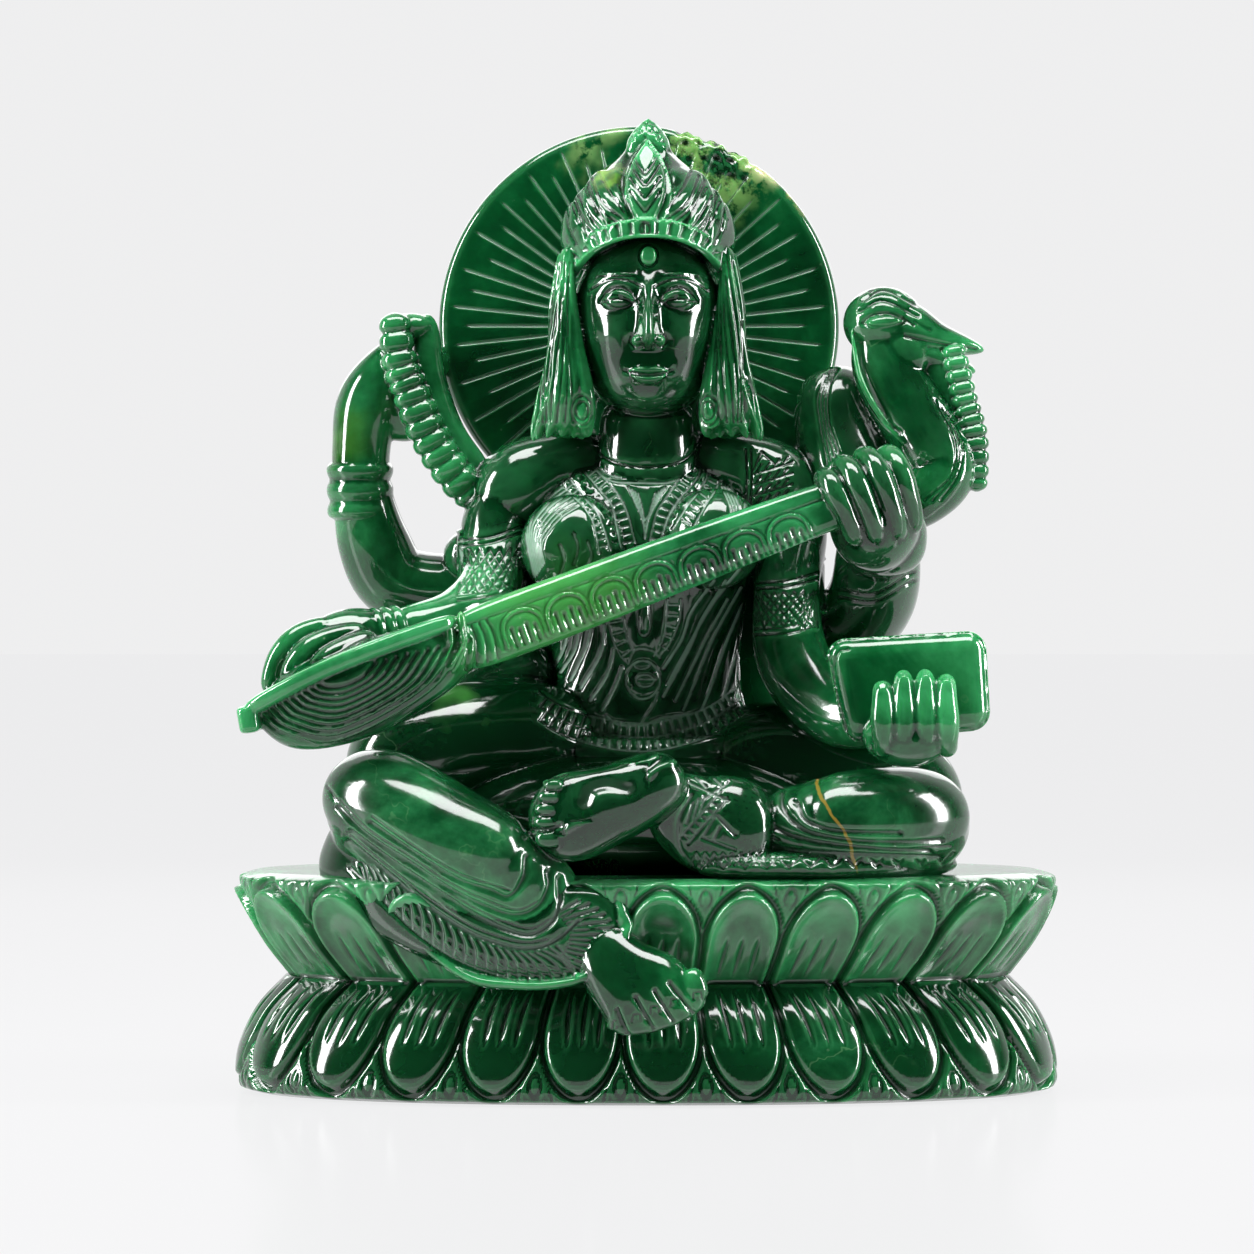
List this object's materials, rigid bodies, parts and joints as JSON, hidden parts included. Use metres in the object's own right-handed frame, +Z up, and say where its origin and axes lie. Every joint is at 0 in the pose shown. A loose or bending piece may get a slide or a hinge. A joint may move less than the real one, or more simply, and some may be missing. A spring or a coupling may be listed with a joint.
{
  "type": "saraswati figure",
  "caption": "Seated four-armed musician on an oval lotus throne, with lute, rosary, tablet and swan before a ribbed halo, carved from one block of green stone",
  "frame": {"origin": "Centre of the throne's underside, on the surface the statue stands on", "axes": "+Z up to the tip of the crown, -Y the way the figure faces, +X to the viewer's right, which is the side of the swan"},
  "size_m": [0.2124, 0.113, 0.25],
  "materials": {
    "jade": "polished, deep green and slightly translucent"
  },
  "bodies": {
    "root": {"jade_carving": "jade"}
  },
  "joints": []
}
